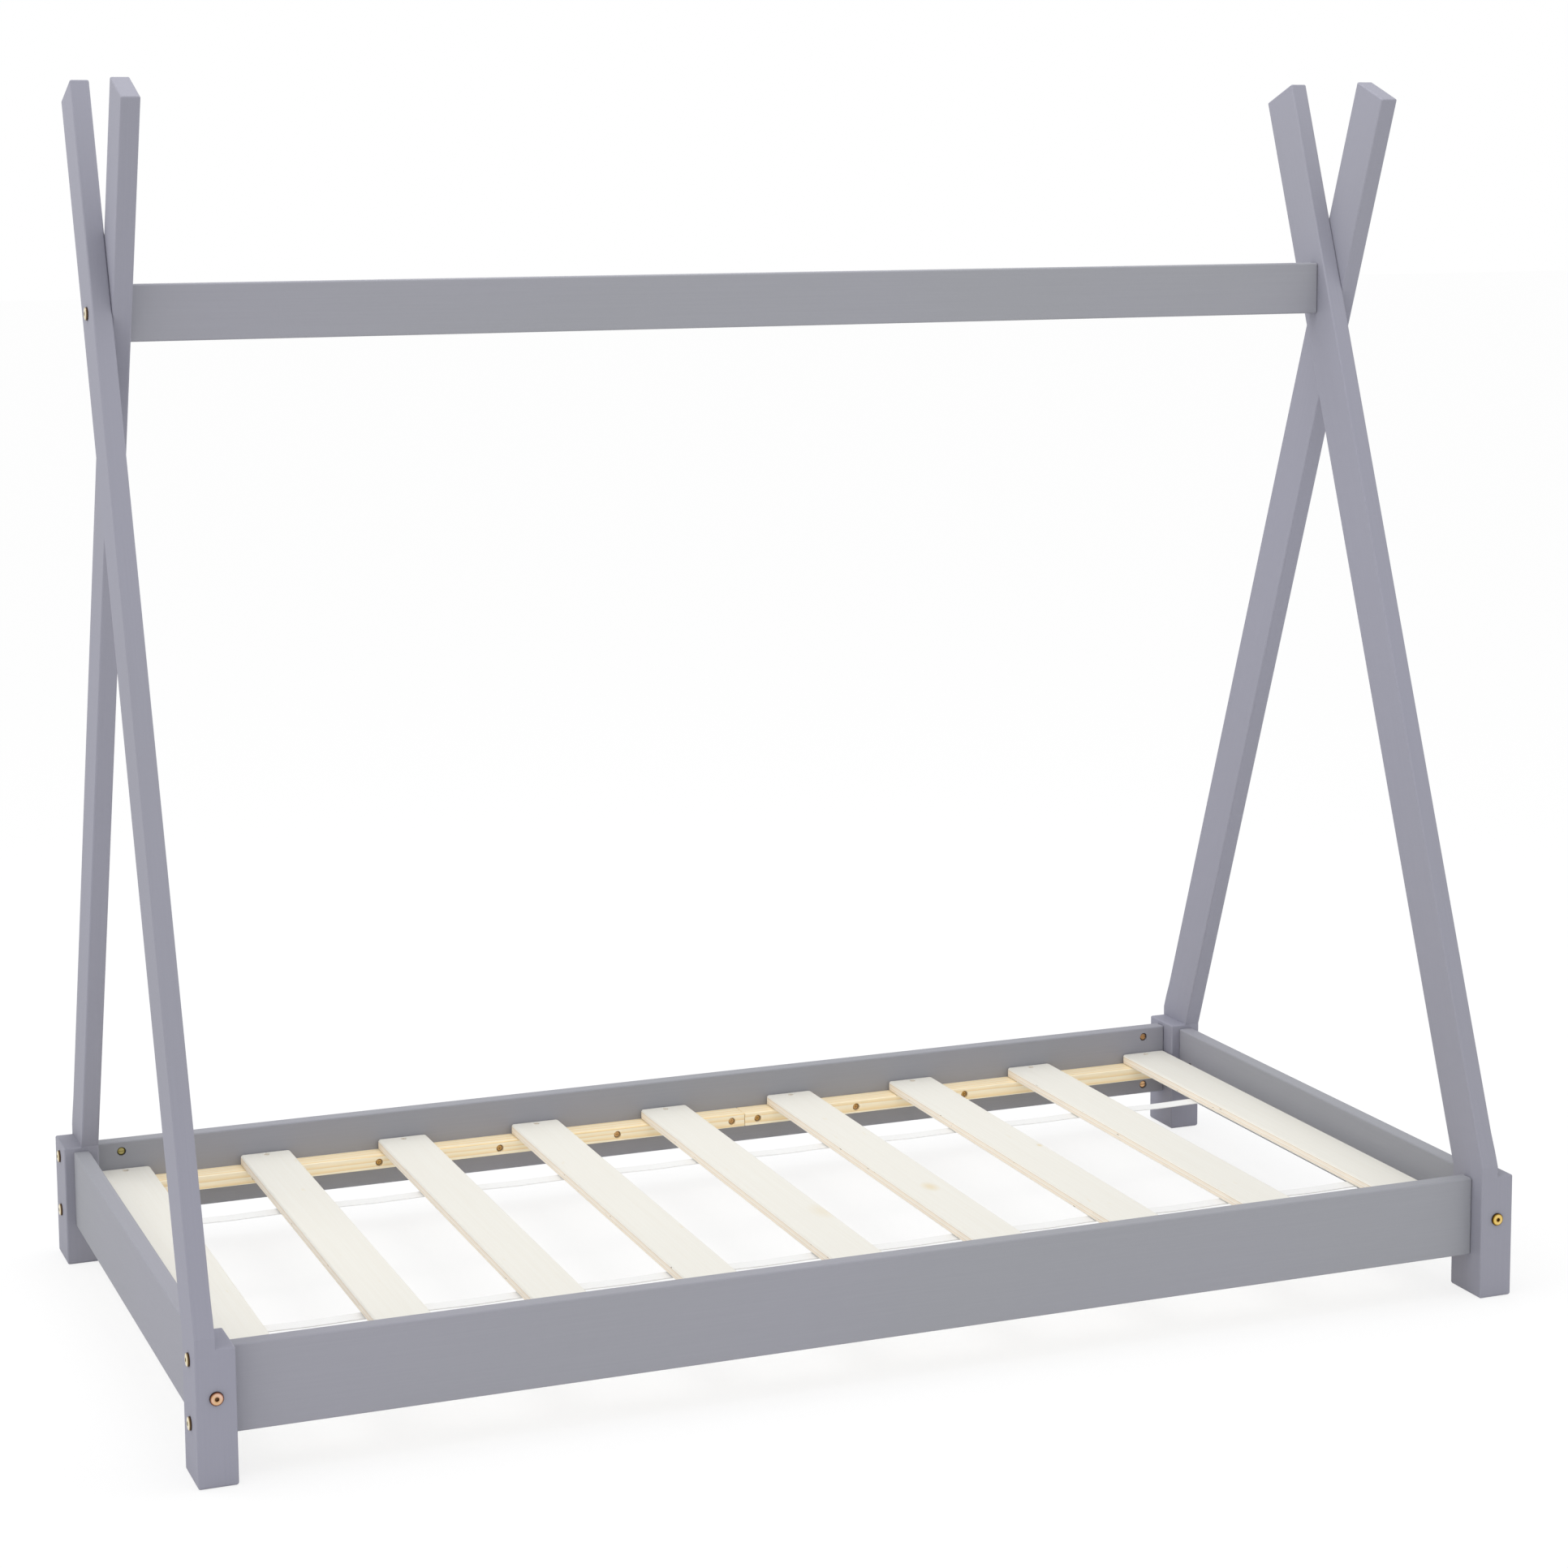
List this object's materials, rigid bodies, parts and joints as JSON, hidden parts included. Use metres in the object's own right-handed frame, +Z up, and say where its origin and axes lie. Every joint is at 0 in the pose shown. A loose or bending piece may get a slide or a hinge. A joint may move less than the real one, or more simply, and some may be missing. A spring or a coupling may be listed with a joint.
{
  "type": "teepee bed",
  "caption": "Low slatted bed frame for a child, its legs rising as leaning poles that cross over each end and carry a ridge beam like a tent frame.",
  "frame": {"origin": "on the floor, under the middle of the bed", "axes": "+X along the bed's length, +Y towards the back of the bed, +Z up"},
  "size_m": [1.486, 0.796, 1.352],
  "materials": {
    "painted_pine": "satin lavender-grey paint",
    "bare_pine": "planed, unpainted",
    "plywood": "pale sanded faces, bare edges",
    "webbing": "white woven strap",
    "yellow_zinc_steel": "yellow-passivated zinc",
    "brass": "turned brass",
    "beech": "turned, unfinished",
    "zinc_steel": "bright zinc"
  },
  "bodies": {
    "root": {"pole_front_left": "painted_pine", "leg_block_front_left": "painted_pine", "pole_front_right": "painted_pine", "leg_block_front_right": "painted_pine", "pole_back_left": "painted_pine", "leg_block_back_left": "painted_pine", "pole_back_right": "painted_pine", "leg_block_back_right": "painted_pine", "side_rail_front": "painted_pine", "side_rail_back": "painted_pine", "end_rail_left": "painted_pine", "end_rail_right": "painted_pine", "ridge_beam": "painted_pine", "ledger_short_front": "bare_pine", "ledger_long_front": "bare_pine", "strap_front": "webbing", "ledger_short_back": "bare_pine", "ledger_long_back": "bare_pine", "strap_back": "webbing", "slat_1": "plywood", "slat_2": "plywood", "slat_3": "plywood", "slat_4": "plywood", "slat_5": "plywood", "slat_6": "plywood", "slat_7": "plywood", "slat_8": "plywood", "slat_9": "plywood", "side_rail_bolts": "yellow_zinc_steel", "side_rail_barrel_nuts": "brass", "end_rail_bolts": "yellow_zinc_steel", "end_rail_barrel_nuts": "brass", "ridge_bolts": "yellow_zinc_steel", "ridge_barrel_nuts": "brass", "end_rail_dowels": "beech", "ridge_dowels": "beech", "ledger_screws": "zinc_steel", "slat_screws": "zinc_steel"}
  },
  "joints": []
}
